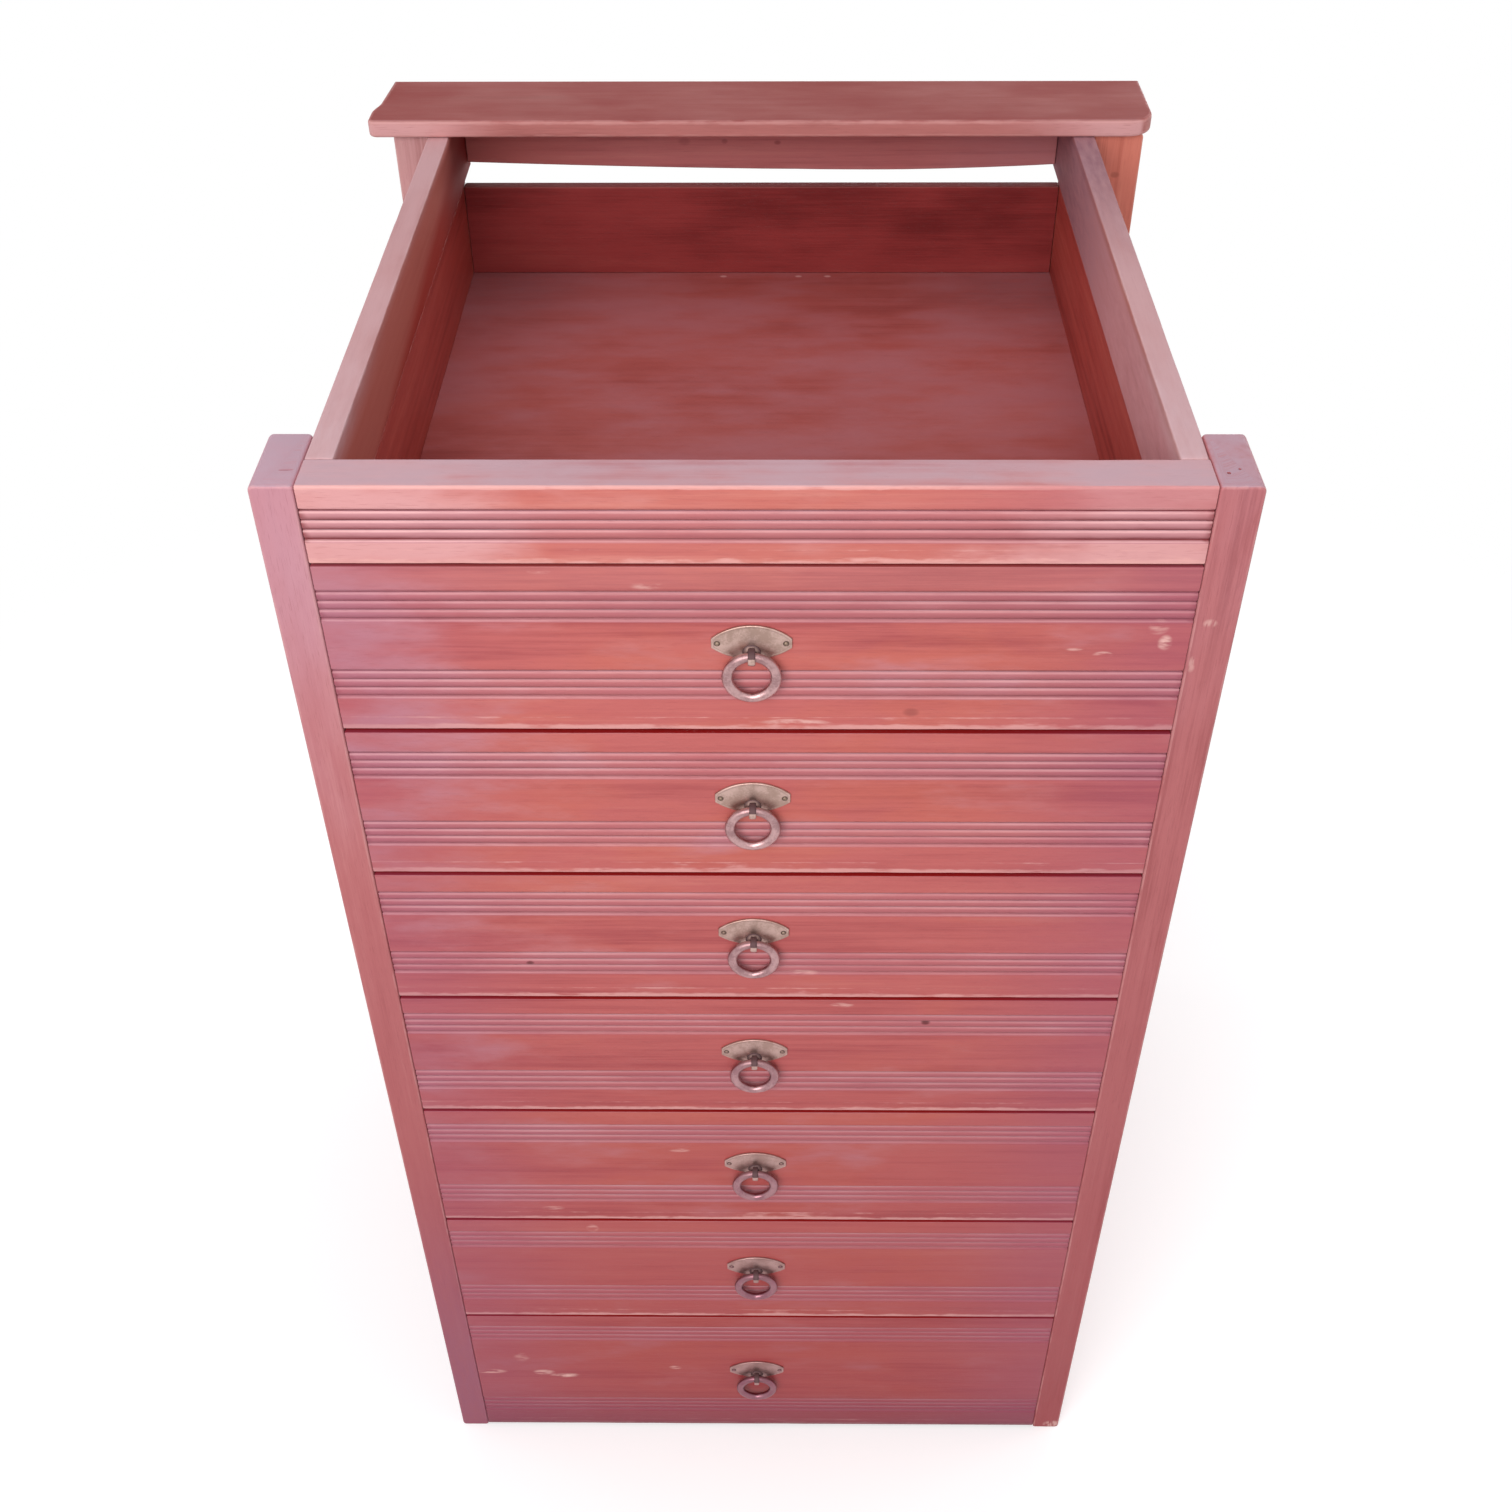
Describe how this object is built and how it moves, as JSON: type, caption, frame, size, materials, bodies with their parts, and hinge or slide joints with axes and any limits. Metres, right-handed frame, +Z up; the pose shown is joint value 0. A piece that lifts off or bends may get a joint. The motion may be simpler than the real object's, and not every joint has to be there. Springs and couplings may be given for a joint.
{
  "type": "closet drawer unit",
  "caption": "Open-topped wooden closet insert of posts and rails, filled with full-width graduated drawers that have reeded fronts and ring pulls.",
  "frame": {"origin": "on the floor, under the middle of the unit's box", "axes": "+Z up, -Y towards the drawer fronts, +X to the right seen from the front"},
  "size_m": [0.592, 0.582, 1.0328],
  "materials": {
    "front_stain": "faded red stain, satin",
    "frame_stain": "faded red stain, worn",
    "worn_rail": "worn and dusty, matt",
    "cap_stain": "dark red stain, satin",
    "box_stain": "dark red stain, matt",
    "box_floor": "red stain, dusty, matt",
    "plate_metal": "aged, satin",
    "ring_metal": "aged, polished by hands"
  },
  "bodies": {
    "carcass": {"front_post_left": "frame_stain", "front_post_right": "frame_stain", "rear_post_left": "frame_stain", "rear_post_right": "frame_stain", "front_top_rail": "front_stain", "rear_top_rail": "cap_stain", "cap_board": "cap_stain", "left_side_rack": "worn_rail", "right_side_rack": "worn_rail", "bottom_front_rail": "frame_stain", "bottom_rear_rail": "frame_stain"},
    "drawer_1": {"drawer_1_front": "front_stain", "drawer_1_left_side": "box_stain", "drawer_1_right_side": "box_stain", "drawer_1_back": "box_stain", "drawer_1_bottom": "box_floor", "drawer_1_pull_plate": "plate_metal"},
    "ring_1": {"drawer_1_pull_ring": "ring_metal"},
    "drawer_2": {"drawer_2_front": "front_stain", "drawer_2_left_side": "box_stain", "drawer_2_right_side": "box_stain", "drawer_2_back": "box_stain", "drawer_2_bottom": "box_floor", "drawer_2_pull_plate": "plate_metal"},
    "ring_2": {"drawer_2_pull_ring": "ring_metal"},
    "drawer_3": {"drawer_3_front": "front_stain", "drawer_3_left_side": "box_stain", "drawer_3_right_side": "box_stain", "drawer_3_back": "box_stain", "drawer_3_bottom": "box_floor", "drawer_3_pull_plate": "plate_metal"},
    "ring_3": {"drawer_3_pull_ring": "ring_metal"},
    "drawer_4": {"drawer_4_front": "front_stain", "drawer_4_left_side": "box_stain", "drawer_4_right_side": "box_stain", "drawer_4_back": "box_stain", "drawer_4_bottom": "box_floor", "drawer_4_pull_plate": "plate_metal"},
    "ring_4": {"drawer_4_pull_ring": "ring_metal"},
    "drawer_5": {"drawer_5_front": "front_stain", "drawer_5_left_side": "box_stain", "drawer_5_right_side": "box_stain", "drawer_5_back": "box_stain", "drawer_5_bottom": "box_floor", "drawer_5_pull_plate": "plate_metal"},
    "ring_5": {"drawer_5_pull_ring": "ring_metal"},
    "drawer_6": {"drawer_6_front": "front_stain", "drawer_6_left_side": "box_stain", "drawer_6_right_side": "box_stain", "drawer_6_back": "box_stain", "drawer_6_bottom": "box_floor", "drawer_6_pull_plate": "plate_metal"},
    "ring_6": {"drawer_6_pull_ring": "ring_metal"},
    "drawer_7": {"drawer_7_front": "front_stain", "drawer_7_left_side": "box_stain", "drawer_7_right_side": "box_stain", "drawer_7_back": "box_stain", "drawer_7_bottom": "box_floor", "drawer_7_pull_plate": "plate_metal"},
    "ring_7": {"drawer_7_pull_ring": "ring_metal"}
  },
  "joints": [
    {"name": "drawer_1_slide", "type": "slide", "parent": "carcass", "child": "drawer_1", "axis": [0, -1, 0], "range_m": [0, 0.42]},
    {"name": "ring_1_swing", "type": "hinge", "parent": "drawer_1", "child": "ring_1", "pos_m": [-0.0028, -0.28545, 0.908], "axis": [-1, 0, 0], "range_deg": [-4, 135]},
    {"name": "drawer_2_slide", "type": "slide", "parent": "carcass", "child": "drawer_2", "axis": [0, -1, 0], "range_m": [0, 0.42]},
    {"name": "ring_2_swing", "type": "hinge", "parent": "drawer_2", "child": "ring_2", "pos_m": [-0.0028, -0.28545, 0.7855], "axis": [-1, 0, 0], "range_deg": [-4, 135]},
    {"name": "drawer_3_slide", "type": "slide", "parent": "carcass", "child": "drawer_3", "axis": [0, -1, 0], "range_m": [0, 0.42]},
    {"name": "ring_3_swing", "type": "hinge", "parent": "drawer_3", "child": "ring_3", "pos_m": [-0.0028, -0.28545, 0.6625], "axis": [-1, 0, 0], "range_deg": [-4, 135]},
    {"name": "drawer_4_slide", "type": "slide", "parent": "carcass", "child": "drawer_4", "axis": [0, -1, 0], "range_m": [0, 0.42]},
    {"name": "ring_4_swing", "type": "hinge", "parent": "drawer_4", "child": "ring_4", "pos_m": [-0.0028, -0.28545, 0.537], "axis": [-1, 0, 0], "range_deg": [-4, 135]},
    {"name": "drawer_5_slide", "type": "slide", "parent": "carcass", "child": "drawer_5", "axis": [0, -1, 0], "range_m": [0, 0.42]},
    {"name": "ring_5_swing", "type": "hinge", "parent": "drawer_5", "child": "ring_5", "pos_m": [-0.0028, -0.28545, 0.402], "axis": [-1, 0, 0], "range_deg": [-4, 135]},
    {"name": "drawer_6_slide", "type": "slide", "parent": "carcass", "child": "drawer_6", "axis": [0, -1, 0], "range_m": [0, 0.42]},
    {"name": "ring_6_swing", "type": "hinge", "parent": "drawer_6", "child": "ring_6", "pos_m": [-0.0028, -0.28545, 0.2595], "axis": [-1, 0, 0], "range_deg": [-4, 135]},
    {"name": "drawer_7_slide", "type": "slide", "parent": "carcass", "child": "drawer_7", "axis": [0, -1, 0], "range_m": [0, 0.42]},
    {"name": "ring_7_swing", "type": "hinge", "parent": "drawer_7", "child": "ring_7", "pos_m": [-0.0028, -0.28545, 0.0955], "axis": [-1, 0, 0], "range_deg": [-4, 135]}
  ]
}
